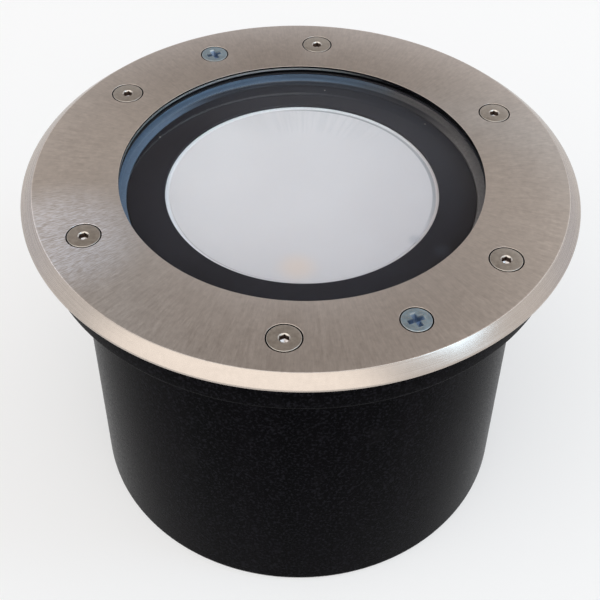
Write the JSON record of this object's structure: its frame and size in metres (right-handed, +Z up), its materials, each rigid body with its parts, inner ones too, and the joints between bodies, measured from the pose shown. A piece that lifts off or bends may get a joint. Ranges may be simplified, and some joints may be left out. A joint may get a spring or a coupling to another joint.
{
  "type": "led uplight",
  "caption": "Round recessed ground light: brushed steel bezel with countersunk screws over clear glass, black mask ring and frosted disc, in a plain black ground sleeve with a collar.",
  "frame": {"origin": "centre of the flat underside of the ground sleeve, on the surface that it stands on", "axes": "+Z up along the light's axis towards the glass, -Y towards the viewer of the picture, +X to the viewer's right"},
  "size_m": [0.18, 0.18, 0.125],
  "materials": {
    "sleeve_plastic": "satin moulded black",
    "insert_brass": "turned",
    "bezel_steel": "brushed stainless, bright bevel",
    "screw_steel": "stainless, polished edge",
    "zinc_steel": "bluish zinc plate",
    "gasket_silicone": "matte blue-grey silicone",
    "clear_glass": "clear tempered",
    "mask_plastic": "fine matte",
    "frosted_plastic": "frosted white",
    "reflector_metal": "faceted satin",
    "holder_plastic": "moulded white",
    "board_aluminium": "fine matte",
    "phosphor": "matte yellow phosphor",
    "pad_grey": "soft matte",
    "body_casting": "black powder coat on die-cast metal",
    "circuit_board": "solder mask",
    "coil_tape": "tape over winding",
    "capacitor_sleeve": "shrink sleeve",
    "terminal_plastic": "moulded",
    "wire_red": "wire insulation",
    "wire_black": "wire insulation",
    "seal_rubber": "matte",
    "gland_plastic": "moulded black"
  },
  "bodies": {
    "sleeve": {"mounting_sleeve": "sleeve_plastic", "sleeve_collar": "sleeve_plastic", "sleeve_base": "sleeve_plastic", "sleeve_insert_1": "insert_brass", "sleeve_insert_2": "insert_brass"},
    "fixture": {"bezel_ring": "bezel_steel", "hex_screw_1": "screw_steel", "hex_screw_2": "screw_steel", "hex_screw_3": "screw_steel", "hex_screw_4": "screw_steel", "hex_screw_5": "screw_steel", "hex_screw_6": "screw_steel", "cross_screw_1": "zinc_steel", "cross_screw_2": "zinc_steel", "glass_gasket": "gasket_silicone", "front_glass": "clear_glass", "mask_ring": "mask_plastic", "diffuser_disc": "frosted_plastic", "reflector": "reflector_metal", "led_holder": "holder_plastic", "holder_screw_1": "screw_steel", "holder_screw_2": "screw_steel", "cob_board": "board_aluminium", "cob_emitter": "phosphor", "thermal_pad": "pad_grey", "body_housing": "body_casting", "driver_board": "circuit_board", "driver_coil": "coil_tape", "driver_capacitor_1": "capacitor_sleeve", "driver_capacitor_2": "capacitor_sleeve", "terminal_block": "terminal_plastic", "driver_screw_1": "screw_steel", "driver_screw_2": "screw_steel", "driver_screw_3": "screw_steel", "led_wire_red": "wire_red", "led_wire_black": "wire_black", "rear_cover": "body_casting", "rear_seal": "seal_rubber", "rear_cover_screw_1": "screw_steel", "rear_cover_screw_2": "screw_steel", "rear_cover_screw_3": "screw_steel", "rear_cover_screw_4": "screw_steel", "gland_body": "gland_plastic", "gland_seal": "seal_rubber", "gland_nut": "gland_plastic"}
  },
  "joints": [
    {"name": "fixture_lift", "type": "slide", "parent": "sleeve", "child": "fixture", "axis": [0, 0, 1], "range_m": [0, 0.13]}
  ]
}
